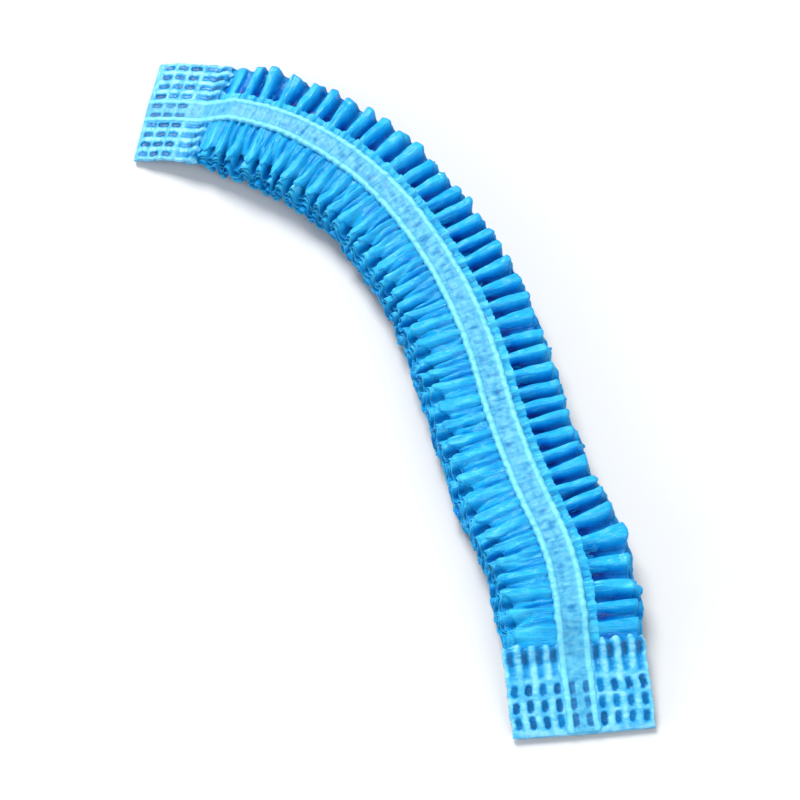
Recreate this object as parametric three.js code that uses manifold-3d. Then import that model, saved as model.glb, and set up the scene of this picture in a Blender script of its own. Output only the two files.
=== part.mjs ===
// A disposable shower cap as it comes out of the packet. A sheet of thin blue film is folded to and fro into
// a narrow strip, an elastic band along each of its two free edges gathers it into cross pleats, and both ends
// are welded flat. Pulled open, the folds make the crown and the two bands make the rim.
//
// Millimetres, +Z up. The strip lies on its lower band in a shallow S, with the origin under the middle of its
// box. A place on it is given as along, across and height: along its line from the first end, across to the
// left of that way, and up from the floor. A section is a ring of [across, height] corners, anticlockwise as
// seen from the last end.
import * as THREE from "three";
import Module from "manifold-3d";
import { mergeVertices } from "three/addons/utils/BufferGeometryUtils.js";

const wasm = await Module();
wasm.setup();
const { clamp, degToRad, lerp, smoothstep } = THREE.MathUtils;

// ---- Driving dimensions ----
const STRIP_HEIGHT = 12;
const PLEATS = 39;
const SEAT_GAP = 0.3; // between two pieces that lie against each other

// The strip's line seen from above: arcs, with their lengths and the degrees that they turn.
const LINE_START = new THREE.Vector2(-55.44, 71.05);
const FIRST_HEADING = -8;
const BENDS = [
  { length: 32, turn: -16 },
  { length: 42, turn: -32 },
  { length: 48, turn: -22 },
  { length: 34, turn: 11 },
  { length: 18, turn: -17 },
  { length: 26, turn: 0 },
];

// The strip droops to the floor at each tip, over this length.
const TIP = { middleHeight: 1.35, droopLength: 38, droopPower: 0.75 };

// From a weld, the folds spread to their full height over the first of these lengths, and the pleats grow to
// their full depth over the second.
const SPREADING_LENGTH = 21;
const PLEATING_LENGTH = 9;

const BAND = { halfWidth: 3.4, thickness: 0.8, weltWidth: 1.5, channelDepth: 0.3, shoulder: 0.3 };

// Each leaf of the film stands for the three layers that lie together there. depth is half of the height from
// a pleat's valley to its crest, ripple is the same under the band, and reach is the share of a fold's full
// reach. Each size grows from its value at a weld to its value in the body.
const FILM = {
  spacingAtBand: { atWeld: 1.45, inBody: 2.075, grownOver: SPREADING_LENGTH },
  spacingAtFold: { atWeld: 1.45, inBody: 1.92, grownOver: SPREADING_LENGTH },
  wall: { atWeld: 1.0, inBody: 1.42, grownOver: SPREADING_LENGTH },
  reach: { atWeld: 0.95, inBody: 1, grownOver: PLEATING_LENGTH },
  ripple: { atWeld: 0.1, inBody: 0.25, grownOver: PLEATING_LENGTH },
  depth: { atWeld: 0.5, inBody: 1.1, grownOver: PLEATING_LENGTH },
};
const BAND_WALL = 1.0; // a leaf's thickness where the band holds it
const HEM_REACH = 5; // a hem's free edge, past the middle of the strip
const BAND_ZONE = 4.4; // no deep pleats nearer to the middle than this
const FOLD_NOSE = 1.8; // from the last straight part of a leaf to the outside of its fold
const FOLD_WALL = 1.2;
const TOOTH = 0.6; // how far the crests stand out along the strip's sides, and the valleys draw in
const UNEVEN = { share: 0.22, step: 2.4 }; // how much lower a pleat may be, and the sway of it in radians

// Where each leaf turns over into the next one down. Side is +1 on the left of the strip's line.
const FOLDS = [
  { side: -1, reach: 13.2 },
  { side: 1, reach: 14.8 },
  { side: -1, reach: 14.8 },
  { side: 1, reach: 13.2 },
];
const NEAREST_FOLD = Math.min(...FOLDS.map((fold) => fold.reach)) - FOLD_NOSE;
const LEAVES = FOLDS.length + 1;
const MIDDLE_LEAF = (LEAVES - 1) / 2;

// The second leaf shows beside the upper hem, and the last but one beside the lower: there they puff out.
const PUFFED = [
  { leaf: 1, side: 1, lift: 0.5, extraDepth: 0.5 },
  { leaf: 3, side: -1, lift: -0.5, extraDepth: 0.5 },
];

const SEAL = { length: 17.5, padLength: 14, padThickness: 2, bandRise: 0.3, groove: 0.9 };
const PIT = { rows: 3, columns: 10, rowPitch: 4.2, columnPitch: 2.9, length: 2.2, width: 1.2, depth: 0.5 };

const FINISHES = {
  film: { color: 0x2f9be6, roughness: 0.45, metalness: 0, side: THREE.DoubleSide },
  band: { color: 0x9adcf7, roughness: 0.7, metalness: 0 },
  weld: { color: 0x4fb4ea, roughness: 0.35, metalness: 0 },
};

// ---- The strip's line ----
const LENGTH = BENDS.reduce((sum, bend) => sum + bend.length, 0);
const FILM_START = SEAL.length + SEAT_GAP;
const FILM_LENGTH = LENGTH - 2 * FILM_START;

// A place of the strip as a point of the object.
function place(along, across, height) {
  const point = LINE_START.clone();
  let heading = degToRad(FIRST_HEADING);
  let left = along;
  for (const { length, turn } of BENDS) {
    const run = clamp(left, 0, length);
    const turned = (degToRad(turn) * run) / length;
    const chord = turned === 0 ? run : (run * Math.sin(turned / 2)) / (turned / 2);
    point.x += chord * Math.cos(heading + turned / 2);
    point.y += chord * Math.sin(heading + turned / 2);
    heading += turned;
    left -= run;
  }
  return [point.x - across * Math.sin(heading), point.y + across * Math.cos(heading), height];
}

const fromEnd = (along) => Math.min(along, LENGTH - along);

// The height of the surface half way up the strip.
function middleHeight(along) {
  const share = Math.min(1, fromEnd(along) / TIP.droopLength);
  return lerp(TIP.middleHeight, STRIP_HEIGHT / 2, Math.sin((share * Math.PI) / 2) ** TIP.droopPower);
}

// A size of the film at a place along the strip.
function filmSize(name, along) {
  const { atWeld, inBody, grownOver } = FILM[name];
  return lerp(atWeld, inBody, smoothstep(fromEnd(along), FILM_START, FILM_START + grownOver));
}

// From the middle surface to the inner face of a band.
const bandSeat = (along) =>
  MIDDLE_LEAF * filmSize("spacingAtBand", along) + filmSize("ripple", along) + BAND_WALL / 2 + SEAT_GAP;

// ---- A closed solid through sections, all with as many corners ----
function endFace({ ring }) {
  const outline = ring.map((corner) => new THREE.Vector2(...corner));
  return THREE.ShapeUtils.triangulateShape(outline, []);
}

function loft(sections) {
  const count = sections[0].ring.length;
  const corners = ({ along, ring }) => ring.flatMap(([across, height]) => place(along, across, height));
  const positions = sections.flatMap(corners);
  const index = [];
  for (let i = 0; i + 1 < sections.length; i++) {
    for (let j = 0; j < count; j++) {
      const a = i * count + j;
      const b = i * count + ((j + 1) % count);
      index.push(a, b, a + count);
      index.push(b, b + count, a + count);
    }
  }
  const last = (sections.length - 1) * count;
  for (const [a, b, c] of endFace(sections[0])) index.push(a, c, b);
  for (const [a, b, c] of endFace(sections.at(-1))) index.push(last + a, last + b, last + c);

  const geometry = new THREE.BufferGeometry();
  geometry.setAttribute("position", new THREE.Float32BufferAttribute(positions, 3));
  geometry.setIndex(index);
  return geometry;
}

// ---- The pleated film: one sheet, folded to and fro into five leaves ----
// wave is +1 on a pleat's crest and -1 in its valley.
function filmRing(along, wave) {
  const size = (name) => filmSize(name, along);
  const grown = size("depth") / FILM.depth.inBody;
  const fold = (index) => {
    const { side, reach } = FOLDS[index];
    return { side, edge: reach * size("reach") + TOOTH * wave * grown };
  };

  // 0 at the band, and 1 where the nearest folds begin.
  const outward = (across) => clamp((Math.abs(across) - BAND_ZONE) / (NEAREST_FOLD - BAND_ZONE), 0, 1);

  // The middle of a leaf's thickness, and half of that thickness.
  function leafHeight(leaf, across) {
    const out = outward(across);
    const puffed = PUFFED.find((one) => one.leaf === leaf && one.side === Math.sign(across));
    const puff = puffed ? (puffed.lift + puffed.extraDepth * wave) * grown * out : 0;
    const spacing = lerp(size("spacingAtBand"), size("spacingAtFold"), out);
    const depth = lerp(size("ripple"), size("depth"), out);
    return middleHeight(along) + (MIDDLE_LEAF - leaf) * spacing + wave * depth + puff;
  }
  const halfWall = (across) => lerp(BAND_WALL, size("wall"), outward(across)) / 2;

  // The face of a leaf that looks up (+1) or down (-1), from the leaf's start to its end.
  function face(leaf, look) {
    const before = leaf === 0 ? null : fold(leaf - 1);
    const after = leaf === LEAVES - 1 ? null : fold(leaf);
    const start = before ? before.side * (before.edge - FOLD_NOSE) : HEM_REACH;
    const end = after ? after.side * (after.edge - FOLD_NOSE) : -HEM_REACH;
    const towards = Math.sign(end - start);
    const middle = [-towards * BAND_ZONE, towards * BAND_ZONE];
    if (!before) middle.shift();
    if (!after) middle.pop();
    const point = (across) => [across, leafHeight(leaf, across) + look * halfWall(across)];
    return [start, ...middle, end].map(point);
  }

  // The turn from a leaf into the next one down, on the outside of the fold or on its inside.
  function turn(leaf, outside) {
    const { side, edge } = fold(leaf);
    const above = leafHeight(leaf, side * edge);
    const below = leafHeight(leaf + 1, side * edge);
    if (!outside) return [[side * (edge - FOLD_WALL), (above + below) / 2]];
    return [
      [side * edge, above],
      [side * edge, below],
    ];
  }

  // Down one side of the sheet, from the upper hem to the lower, and back up its other side.
  const down = [];
  const up = [];
  for (let leaf = 0; leaf < LEAVES; leaf++) {
    const even = leaf % 2 === 0;
    down.push(...face(leaf, even ? 1 : -1));
    up.push(...face(leaf, even ? -1 : 1));
    if (leaf + 1 < LEAVES) {
      down.push(...turn(leaf, even));
      up.push(...turn(leaf, !even));
    }
  }
  return [...down, ...up.reverse()];
}

function pleatedFilm() {
  const sections = [];
  for (let half = 0; half <= 2 * PLEATS; half++) {
    const along = FILM_START + (half * FILM_LENGTH) / (2 * PLEATS);
    const height = 1 - UNEVEN.share * (0.5 + 0.5 * Math.sin(half * UNEVEN.step));
    const wave = half % 2 === 0 ? -height : height;
    sections.push({ along, ring: filmRing(along, wave) });
  }
  return loft(sections);
}

// ---- An elastic band: flat on the film, with a raised welt along each side of the upper one's outer face ----
// way is +1 for the upper band, which looks up, and -1 for the lower.
function bandRing(along, way) {
  const { halfWidth, thickness, weltWidth, channelDepth, shoulder } = BAND;
  const channel = halfWidth - weltWidth;
  const upperHalf = [
    [halfWidth, 0],
    [halfWidth, thickness - shoulder],
    [halfWidth - shoulder, thickness],
    [channel + channelDepth, thickness],
    [channel, thickness - channelDepth],
  ];
  const flatHalf = [
    [halfWidth, 0],
    [halfWidth, thickness],
  ];
  const half = way > 0 ? upperHalf : flatHalf;
  const mirrored = half.map(([across, height]) => [-across, height]).reverse();
  const point = ([across, height]) => [way * across, middleHeight(along) + way * (bandSeat(along) + height)];
  return [...half, ...mirrored].map(point);
}

function elasticBand(way) {
  const sections = [];
  for (let pleat = 0; pleat <= PLEATS; pleat++) {
    const along = FILM_START + (pleat * FILM_LENGTH) / PLEATS;
    sections.push({ along, ring: bandRing(along, way) });
  }
  return loft(sections);
}

// ---- A welded end: a flat pad with rows of pits, and a ridged throat that takes in the folds and bands ----
// The two ends are alike, so a place on either goes by its distance from the tip.
const steps = (from, to, count) => Array.from({ length: count }, (_, i) => lerp(from, to, i / count));
const SEAL_DISTANCES = [...steps(0, SEAL.padLength, 3), ...steps(SEAL.padLength, SEAL.length, 2), SEAL.length];

// The corners across an end lie by turns between two columns of pits and in the middle of a column.
const SEAL_CORNERS = [];
for (let half = -PIT.columns; half <= PIT.columns; half++) {
  const across = (half * PIT.columnPitch) / 2;
  const inColumn = (half + PIT.columns) % 2 === 1;
  SEAL_CORNERS.push({ across, inColumn, onBand: Math.abs(across) < BAND.halfWidth });
}

function sealHalfThickness(distance, { inColumn, onBand }) {
  const throat = clamp((distance - SEAL.padLength) / (SEAL.length - SEAL.padLength), 0, 1);
  const bundle = MIDDLE_LEAF * FILM.spacingAtBand.atWeld + BAND_WALL / 2;
  const rise = onBand ? lerp(SEAL.bandRise, SEAT_GAP + BAND.thickness, throat) : 0;
  const groove = inColumn ? SEAL.groove * Math.sin(throat * Math.PI) : 0;
  return lerp(SEAL.padThickness / 2, bundle, throat) + rise - groove;
}

function sealRing(distance, along) {
  const height = (corner, way) => middleHeight(along) + way * sealHalfThickness(distance, corner);
  const side = (way) => SEAL_CORNERS.map((corner) => [corner.across, height(corner, way)]);
  return [...side(-1), ...side(1).reverse()];
}

// A box that takes one pit out of the pad's upper face, with its top above that face. alongOf gives the place
// along the strip at a distance from this end's tip.
function pitBox(distance, corner, alongOf) {
  const [right, left] = [corner.across - PIT.width / 2, corner.across + PIT.width / 2];
  const sections = [distance - PIT.length / 2, distance + PIT.length / 2].map((at) => {
    const floor = middleHeight(alongOf(at)) + sealHalfThickness(at, corner) - PIT.depth;
    const top = floor + 2 * PIT.depth;
    return { along: alongOf(at), ring: [[right, top], [right, floor], [left, floor], [left, top]] };
  });
  return loft(sections.sort((a, b) => a.along - b.along));
}

function solid(geometry) {
  const merged = mergeVertices(geometry);
  const mesh = { numProp: 3, vertProperties: merged.attributes.position.array, triVerts: merged.index.array };
  return new wasm.Manifold(new wasm.Mesh(mesh));
}

function geometryOf(cut) {
  const { vertProperties, triVerts } = cut.getMesh();
  const geometry = new THREE.BufferGeometry();
  geometry.setAttribute("position", new THREE.BufferAttribute(vertProperties, 3));
  geometry.setIndex(new THREE.BufferAttribute(triVerts, 1));
  return geometry;
}

function weldedEnd(alongOf) {
  const sections = SEAL_DISTANCES.map((distance) => {
    const along = alongOf(distance);
    return { along, ring: sealRing(distance, along) };
  });
  let end = solid(loft(sections.sort((a, b) => a.along - b.along)));
  for (let row = 0; row < PIT.rows; row++) {
    const distance = SEAL.padLength / 2 + (row - (PIT.rows - 1) / 2) * PIT.rowPitch;
    for (const corner of SEAL_CORNERS.filter(({ inColumn }) => inColumn)) {
      end = end.subtract(solid(pitBox(distance, corner, alongOf)));
    }
  }
  return geometryOf(end);
}

// ---- The cap ----
function part(name, geometry, finish) {
  const mesh = new THREE.Mesh(geometry, new THREE.MeshStandardMaterial(finish));
  mesh.name = name;
  return mesh;
}

const cap = new THREE.Group();
cap.name = "shower_cap";
cap.add(
  part("pleated_film", pleatedFilm(), FINISHES.film),
  part("upper_elastic_band", elasticBand(1), FINISHES.band),
  part("lower_elastic_band", elasticBand(-1), FINISHES.band),
  part("first_welded_end", weldedEnd((distance) => distance), FINISHES.weld),
  part("last_welded_end", weldedEnd((distance) => LENGTH - distance), FINISHES.weld),
);

export default cap;
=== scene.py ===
# %% [markdown]
# # A disposable shower cap, folded into its strip
#
# A cap of this kind leaves its packet as a narrow pleated strip. One sheet of thin blue film has been
# folded to and fro lengthwise, an elastic band along each free edge has drawn it into cross pleats, and
# both ends have been pressed flat and welded. Here the plain solids of that cap are dressed: the film
# becomes one thin sheet with all its folds, the bands get their welts and weld spots, and the ends get
# their pressed pattern.

import math

import bpy
import numpy as np
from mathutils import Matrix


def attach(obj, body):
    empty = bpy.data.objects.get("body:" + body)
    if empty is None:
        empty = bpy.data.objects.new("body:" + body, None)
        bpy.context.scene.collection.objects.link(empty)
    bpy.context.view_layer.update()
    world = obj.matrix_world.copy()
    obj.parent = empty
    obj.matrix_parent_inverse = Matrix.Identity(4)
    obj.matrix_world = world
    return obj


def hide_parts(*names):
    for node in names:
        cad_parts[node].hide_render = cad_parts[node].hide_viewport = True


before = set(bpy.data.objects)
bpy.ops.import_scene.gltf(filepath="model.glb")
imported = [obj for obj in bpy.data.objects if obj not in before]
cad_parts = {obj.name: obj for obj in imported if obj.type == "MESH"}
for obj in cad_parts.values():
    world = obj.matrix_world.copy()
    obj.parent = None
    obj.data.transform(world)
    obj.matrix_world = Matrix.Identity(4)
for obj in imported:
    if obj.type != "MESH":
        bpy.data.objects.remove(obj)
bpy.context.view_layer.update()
MM = 0.001  # sizes are in millimetres, as in the part's source, and become metres when a mesh is made


# %% [markdown]
# ## The view
# The strip is seen from in front and well above, the way one looks down at a thing on a desk. A long lens
# from a fair distance keeps the strip from tapering away, which a wide lens close by would make it do.

# %% The camera
ELEVATION = 62  # degrees above the table
AIM = (0.006, -0.0095, 0.004)  # in metres, a little to one side, so the bent strip sits well in the frame
DISTANCE = 0.38  # in metres
LENS = 78
NEAREST = 0.01
camera = bpy.data.objects.new("camera", bpy.data.cameras.new("camera"))
bpy.context.scene.collection.objects.link(camera)
camera.data.lens = LENS
camera.data.clip_start = NEAREST
camera.location = (
    AIM[0],
    AIM[1] - DISTANCE * math.cos(math.radians(ELEVATION)),
    AIM[2] + DISTANCE * math.sin(math.radians(ELEVATION)),
)
camera.rotation_euler = (math.radians(90 - ELEVATION), 0, 0)
bpy.context.scene.camera = camera
print("camera at", [round(v, 3) for v in camera.location])

# %% [markdown]
# ## The light
# A large soft lamp behind the strip rakes along it, so each pleat has a lit flank and a shaded one. A
# weaker one in front keeps the shade readable, and a low one from the side reaches the stack of folds. Area
# lamps near the table would light the near end more than the far end. A sun lamp with a wide angle is a
# soft box that doesn't.

# %% The lamps
LAMPS = [
    # name, the way to it, the angle it fills in degrees, strength, colour
    ("soft_box_behind", (-0.5, 0.95, 1.35), 28, 3.9, (1.0, 0.99, 0.97)),
    ("fill_in_front", (0.75, -1.0, 0.9), 38, 1.45, (0.95, 0.98, 1.0)),
    ("low_side_lamp", (-1.2, -0.2, 0.5), 28, 1.1, (1.0, 1.0, 1.0)),
]


def soft_lamp(name, way_to_it, angle, strength, colour):
    lamp = bpy.data.objects.new(name, bpy.data.lights.new(name, "SUN"))
    bpy.context.scene.collection.objects.link(lamp)
    lamp.data.angle = math.radians(angle)
    lamp.data.energy = strength
    lamp.data.color = colour
    lamp.location = way_to_it
    lamp.rotation_euler = (-lamp.location).to_track_quat("-Z", "Y").to_euler()


for lamp_settings in LAMPS:
    soft_lamp(*lamp_settings)
print("lamps:", [settings[0] for settings in LAMPS])

# %% [markdown]
# ## The room
# Thin film is glossy, so it shows the room round it. Pale walls give it soft sheens. A picture of a studio
# could do the same, but a ramp from the walls up to a darker ceiling is enough, and it keeps the gaps
# between the pleats deep.

# %% Pale walls and a darker ceiling
WALLS = (0.98, 0.99, 1.0, 1)
CEILING = (0.33, 0.35, 0.37, 1)
CEILING_FROM = 0.6  # how far up the walls it begins
world = bpy.data.worlds.new("pale_room")
world.use_nodes = True
room = world.node_tree
direction = room.nodes.new("ShaderNodeTexCoord")
upward = room.nodes.new("ShaderNodeSeparateXYZ")
walls = room.nodes.new("ShaderNodeValToRGB")
walls.color_ramp.elements[0].color = WALLS
walls.color_ramp.elements[1].color = CEILING
walls.color_ramp.elements[1].position = CEILING_FROM
room.links.new(direction.outputs["Generated"], upward.inputs["Vector"])
room.links.new(upward.outputs["Z"], walls.inputs["Fac"])
room.links.new(walls.outputs["Color"], room.nodes["Background"].inputs["Color"])
bpy.context.scene.world = world
bpy.context.scene.view_settings.view_transform = "Standard"
print("room:", len(room.nodes), "nodes")

# %% [markdown]
# ## The table
# The strip rests on a plain matt table. A curved backdrop would hide its far edge, and so does a plane that
# is far wider than any view of the strip.

# %% The table top
TABLE_WIDTH = 40  # in metres
TABLE_COLOUR = (0.57, 0.58, 0.595, 1)
TABLE_ROUGHNESS = 0.6


def node_material(name):
    material = bpy.data.materials.new(name)
    material.use_nodes = True
    tree = material.node_tree
    return material, tree, tree.nodes["Principled BSDF"]


floor_material, _, floor_shader = node_material("pale_table")
floor_shader.inputs["Base Color"].default_value = TABLE_COLOUR
floor_shader.inputs["Roughness"].default_value = TABLE_ROUGHNESS
bpy.ops.mesh.primitive_plane_add(size=TABLE_WIDTH)
floor = bpy.context.object
floor.name = "table_top"
floor.data.materials.append(floor_material)
print(floor.name, "is", TABLE_WIDTH, "m wide")

# %% [markdown]
# ## The strip's own line
# Every piece follows one line, a few arcs seen from above. A bent strip could be made straight and pushed
# through a curve modifier. Here a place on the strip is given as along, across and height, so the pleats
# can be worked out as if the strip were straight, and one function lays them on the line.

# %% Places on the strip
LINE_START = (-55.44, 71.05)
FIRST_HEADING = -8  # degrees
BENDS = [(32, -16), (42, -32), (48, -22), (34, 11), (18, -17), (26, 0)]  # length, and degrees turned
LENGTH = sum(length for length, _ in BENDS)


def on_strip(along, across, height):
    """Points in metres for arrays of places on the strip."""
    along, across, height = np.broadcast_arrays(*(np.asarray(v, float) for v in (along, across, height)))
    x = np.full(along.shape, float(LINE_START[0]))
    y = np.full(along.shape, float(LINE_START[1]))
    heading = np.full(along.shape, math.radians(FIRST_HEADING))
    left = along.copy()
    for length, turn in BENDS:
        run = np.clip(left, 0, length)
        turned = math.radians(turn) * run / length
        chord = run * np.sinc(turned / (2 * math.pi))
        x += chord * np.cos(heading + turned / 2)
        y += chord * np.sin(heading + turned / 2)
        heading += turned
        left -= run
    points = np.stack([x - across * np.sin(heading), y + across * np.cos(heading), height], axis=-1)
    return points * MM


print("line length:", LENGTH, "mm, last point:", np.round(on_strip(LENGTH, 0, 0) / MM, 1))

# %% [markdown]
# ## The strip's height
# The strip is full in the middle and droops to both tips. A straight ramp would show a kink where it ends,
# so the droop follows a sine, and everything that starts or stops here does so along a smooth step.

# %% The height of the middle layer
STRIP_HEIGHT = 12
TIP_HEIGHT = 1.35
DROOP_LENGTH = 38
DROOP_POWER = 0.75
PAD_DROP = 0.38  # the dressed pads are thinner than their solids, and lie lower
PAD_DROP_ENDS = (2, 16)


def smooth(value, low, high):
    """0 up to low, 1 from high on, and an S-shaped step between."""
    share = np.clip((value - low) / (high - low), 0, 1)
    return share * share * (3 - 2 * share)


def from_end(along):
    return np.minimum(along, LENGTH - along)


def middle_height(along):
    share = np.clip(from_end(along) / DROOP_LENGTH, 0, 1)
    drop = PAD_DROP * (1 - smooth(from_end(along), *PAD_DROP_ENDS))
    return TIP_HEIGHT + (STRIP_HEIGHT / 2 - TIP_HEIGHT) * np.sin(share * math.pi / 2) ** DROOP_POWER - drop


print("middle layer:", round(float(middle_height(0)), 2), "to", float(middle_height(LENGTH / 2)), "mm high")

# %% [markdown]
# ## Unevenness that is the same on every run
# Film never gathers evenly. A small table of random numbers, made once from a fixed seed, is read between
# its entries with a smooth curve. That gives soft noise in one or two directions, the same each time. Each
# kind of unevenness reads its own rows of the table, so no two of them rise and fall together.

# %% Soft noise
NOISE_SIZE = 128
NOISE_SEED = 7
noise_table = np.random.default_rng(NOISE_SEED).uniform(-1, 1, (NOISE_SIZE, NOISE_SIZE))


def soft_noise(x, y):
    """Between -1 and 1, smooth, with about one bump for each unit of x and of y."""
    x, y = np.broadcast_arrays(np.asarray(x, float), np.asarray(y, float))
    column, row = np.floor(x).astype(int), np.floor(y).astype(int)
    right = smooth(x - column, 0, 1)
    up = smooth(y - row, 0, 1)

    def entry(i, j):
        return noise_table[(column + i) % NOISE_SIZE, (row + j) % NOISE_SIZE]

    low = entry(0, 0) * (1 - right) + entry(1, 0) * right
    high = entry(0, 1) * (1 - right) + entry(1, 1) * right
    return low * (1 - up) + high * up


def uneven(amount, bumps, row, run=math.inf, shift=0):
    """A kind of unevenness: its amount, its bumps for each unit along, the millimetres of a bump across,
    its row of the table, and a shift along. It gives a function of a place along and across, and of rows."""

    def unevenness(along, across=0.0, more_rows=0):
        return amount * soft_noise(bumps * along + shift, across / run + row + more_rows)

    return unevenness


print("noise table from", round(float(noise_table.min()), 2), "to", round(float(noise_table.max()), 2))

# %% [markdown]
# ## Surfaces from grids
# Each piece is a grid of points worked out with numpy, and the faces follow from the rows and columns.
# Modelling by hand could not place a hundred thousand points. A flat map goes with each grid: a folded web
# is flat in its own rows and columns, and an automatic unwrapping would cut it into shreds.

# %% A flat map of a grid
FLAT_MAP = "OFBake"  # the name of each grid's flat map, on which a piece's colours can be baked
END_STRIP = 0.02  # the share of the map that is kept for a closing face
END_STRIP_EDGES = (0.2, 0.8)


def flat_places(rows, columns, around):
    """Where the corners of the faces lie when a grid is laid out flat."""
    low = END_STRIP if around else 0
    sideways = np.arange(columns + around) / (columns - 1 + around)
    grid = np.stack(np.meshgrid(sideways, np.linspace(low, 1 - low, rows)), axis=-1)
    corners = np.stack([grid[:-1, :-1], grid[:-1, 1:], grid[1:, 1:], grid[1:, :-1]], axis=2)
    if not around:
        return corners.reshape(-1, 2)
    way = np.linspace(0, 2, columns)  # there along one face, and back along the other
    edge = np.where(way > 1, END_STRIP_EDGES[1], END_STRIP_EDGES[0])
    closing = np.stack([1 - np.abs(way - 1), END_STRIP * edge], axis=-1)
    return np.concatenate([corners.reshape(-1, 2), closing[::-1], 1 - closing])


print("a grid of 2 by 2 points lies flat at", flat_places(2, 2, False).tolist())

# %% A mesh from a grid of points
def grid_mesh(name, points, strip_places, marks, around=False):
    """A smooth surface over points[row, column]. With around, each row is a ring, and both ends close."""
    rows, columns = points.shape[:2]
    number = np.arange(rows * columns).reshape(rows, columns)
    ends = [number[0, ::-1], number[-1]] if around else []
    if around:
        number = np.hstack([number, number[:, :1]])
    corners = np.stack([number[:-1, :-1], number[:-1, 1:], number[1:, 1:], number[1:, :-1]], axis=-1)
    faces = corners.reshape(-1, 4)
    loops = np.concatenate([faces.reshape(-1), *ends]).astype(np.int32)
    starts = list(range(0, faces.size, 4)) + [faces.size + columns * end for end in range(len(ends))]
    mesh = bpy.data.meshes.new(name)
    mesh.vertices.add(rows * columns)
    mesh.vertices.foreach_set("co", points.reshape(-1).astype(np.float32))
    mesh.loops.add(len(loops))
    mesh.loops.foreach_set("vertex_index", loops)
    mesh.polygons.add(len(starts))
    mesh.polygons.foreach_set("loop_start", np.array(starts, np.int32))
    mesh.polygons.foreach_set("use_smooth", np.arange(len(starts)) < len(faces))
    mesh.update(calc_edges=True)
    flat = mesh.uv_layers.new(name=FLAT_MAP, do_init=False)
    flat.uv.foreach_set("vector", flat_places(rows, columns, around).reshape(-1).astype(np.float32))
    for attribute, values in {"strip_place": strip_places, "marks": marks}.items():
        store = mesh.attributes.new(attribute, "FLOAT_VECTOR", "POINT")
        store.data.foreach_set("vector", values.reshape(-1).astype(np.float32))
    piece = bpy.data.objects.new(name, mesh)
    bpy.context.scene.collection.objects.link(piece)
    print(name, "has about", 2 * len(faces), "triangles")
    return piece

# %% [markdown]
# ## The pleats
# The bands pull the film together at the middle of the strip, where it can only ripple. Further out each
# pair of ripples runs together into one pleat. Cloth simulation could gather a sheet like this, but fifteen
# layers that touch everywhere take it hours, and a formula keeps them apart exactly: all the layers share
# one wave, so none can pass through the next. Short tables say how high the pleats stand, by the distance
# from the middle of the strip.

# %% The sizes of the pleats
PLEATS = 39
FILM_START = 17.8
PITCH = (LENGTH - 2 * FILM_START) / PLEATS
LAYERS = 15
MIDDLE_LAYER = (LAYERS - 1) / 2

# Beside the upper hem the second layer shows, and it stands in high pleats at once. On the other side the
# top layer shows, which lies nearly flat until it turns over.
HEM_SIDE = {
    "across": [0.0, 3.4, 4.6, 5.3, 6.2, 8.0, 11.0, 13.0, 15.0],
    "crest": [0.10, 0.15, 0.20, 0.40, 0.65, 0.95, 1.15, 1.2, 1.2],
    "valley": [0.10, 0.30, 0.7, 1.7, 1.95, 2.0, 1.9, 1.6, 1.4],
    "ripple": [0.12, 0.22, 0.22, 0.15, 0.1, 0.06, 0.05, 0.0, 0.0],
    "crimp": [0.0, 0.14, 0.17, 0.1, 0.05, 0.03, 0.02, 0.0, 0.0],
}
FOLD_SIDE = {
    "across": [0.0, 3.4, 6.0, 8.0, 9.2, 10.4, 12.0, 13.0, 15.0],
    "crest": [0.10, 0.15, 0.24, 0.32, 0.42, 0.62, 0.85, 0.9, 0.9],
    "valley": [0.10, 0.24, 0.34, 0.40, 0.55, 0.85, 1.5, 1.6, 1.45],
    "ripple": [0.12, 0.24, 0.34, 0.34, 0.33, 0.27, 0.2, 0.12, 0.1],
    "crimp": [0.0, 0.13, 0.14, 0.14, 0.14, 0.14, 0.12, 0.08, 0.06],
}


def sized(kind, across, top):
    """A size of the pleats. top is 1 in the top layer and 0 in the bottom one, which is the other way up."""
    other = {"crest": "valley", "valley": "crest"}.get(kind, kind)

    def read(side, name):
        return np.interp(np.abs(across), side["across"], side[name])

    upper = np.where(across > 0, read(HEM_SIDE, kind), read(FOLD_SIDE, kind))
    lower = np.where(across > 0, read(FOLD_SIDE, other), read(HEM_SIDE, other))
    return lower * (1 - top) + upper * top


print("pleats", round(PITCH, 2), "mm apart, valleys up to", max(HEM_SIDE["valley"]), "mm deep")

# %% [markdown]
# ## The wave
# A plain cosine gives soft rolls, which look like cloth. Film makes broad round crests with narrow valleys
# and crisp edges between, so the cosine is pushed towards a flat top. Drawing each pleat by hand would show
# more variety, but noise in its height, its place and its lean gives that too.

# %% The wave of the pleats
BAND_ZONE = 4.5  # the pleats open from here
OPEN_BY = 13
BREADTH = 0.5  # how much broader a crest is than a valley, near the folds
FLATNESS = 1.3  # how flat the top of a crest is
CRISPNESS = 3.2  # how much flatter it is near the folds


def grown(along, over):
    """0 at a weld and 1 further in."""
    return smooth(from_end(along), FILM_START, FILM_START + over)


def along_of(pleat):
    return FILM_START + PITCH * pleat


def pleat_wave(pleat, across, top):
    """1 on a crest and -1 in a valley. Towards the folds the crests are broader and their edges crisper."""
    plain = -np.cos(2 * math.pi * pleat)
    out = smooth(np.abs(across), BAND_ZONE, OPEN_BY)
    flatness = FLATNESS * (1 + CRISPNESS * out)
    flat = plain * np.sqrt((1 + flatness) / (1 + flatness * plain**2))
    broad = (2 * top - 1) * BREADTH * out * (1 - flat**2)
    return flat + broad


print("the wave beside a crest:", round(float(pleat_wave(0.4, 8, 1)), 2))

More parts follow.
